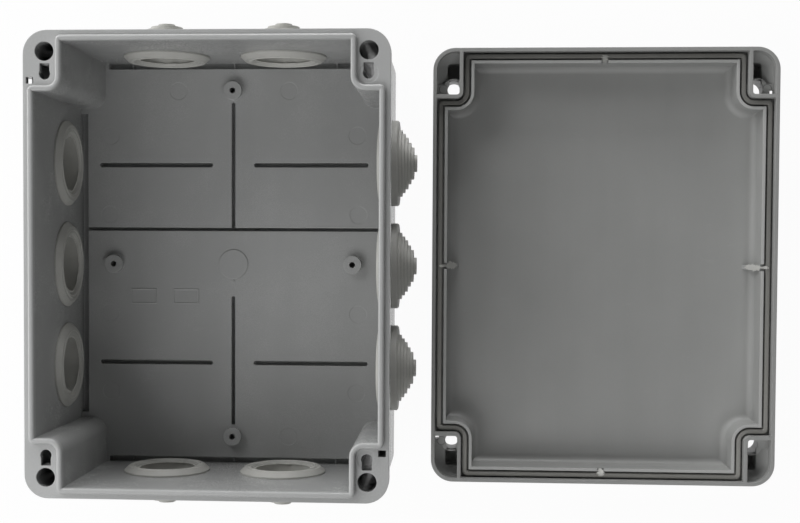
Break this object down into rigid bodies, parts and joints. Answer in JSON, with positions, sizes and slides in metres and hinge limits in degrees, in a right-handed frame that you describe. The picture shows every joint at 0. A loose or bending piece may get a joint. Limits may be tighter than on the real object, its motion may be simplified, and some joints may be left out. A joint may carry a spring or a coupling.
{
  "type": "cable junction box",
  "caption": "Plastic junction box with stepped rubber cable entries, lying open on its back with its sealed lid beside it, inner side up.",
  "frame": {"origin": "middle of the base's back, at the centre of the four wall screw holes", "axes": "+Z out of the wall, towards the open front; +X towards the lid that lies beside the base; +Y along the box's length"},
  "size_m": [0.4332, 0.2794, 0.098],
  "materials": {
    "body_plastic": "satin moulded",
    "grommet_rubber": "smooth moulded rubber",
    "gasket_rubber": "soft matt rubber"
  },
  "bodies": {
    "base": {"enclosure_base": "body_plastic", "grommet_left_upper": "grommet_rubber", "grommet_left_middle": "grommet_rubber", "grommet_left_lower": "grommet_rubber", "grommet_right_upper": "grommet_rubber", "grommet_right_middle": "grommet_rubber", "grommet_right_lower": "grommet_rubber", "grommet_top_left": "grommet_rubber", "grommet_top_right": "grommet_rubber", "grommet_bottom_left": "grommet_rubber", "grommet_bottom_right": "grommet_rubber"},
    "lid": {"lid": "body_plastic", "lid_gasket": "gasket_rubber"}
  },
  "joints": [
    {"name": "lid_turnover", "type": "hinge", "parent": "base", "child": "lid", "pos_m": [0.1105, 0, 0.06015], "axis": [0, -1, 0], "range_deg": [0, 180]}
  ]
}
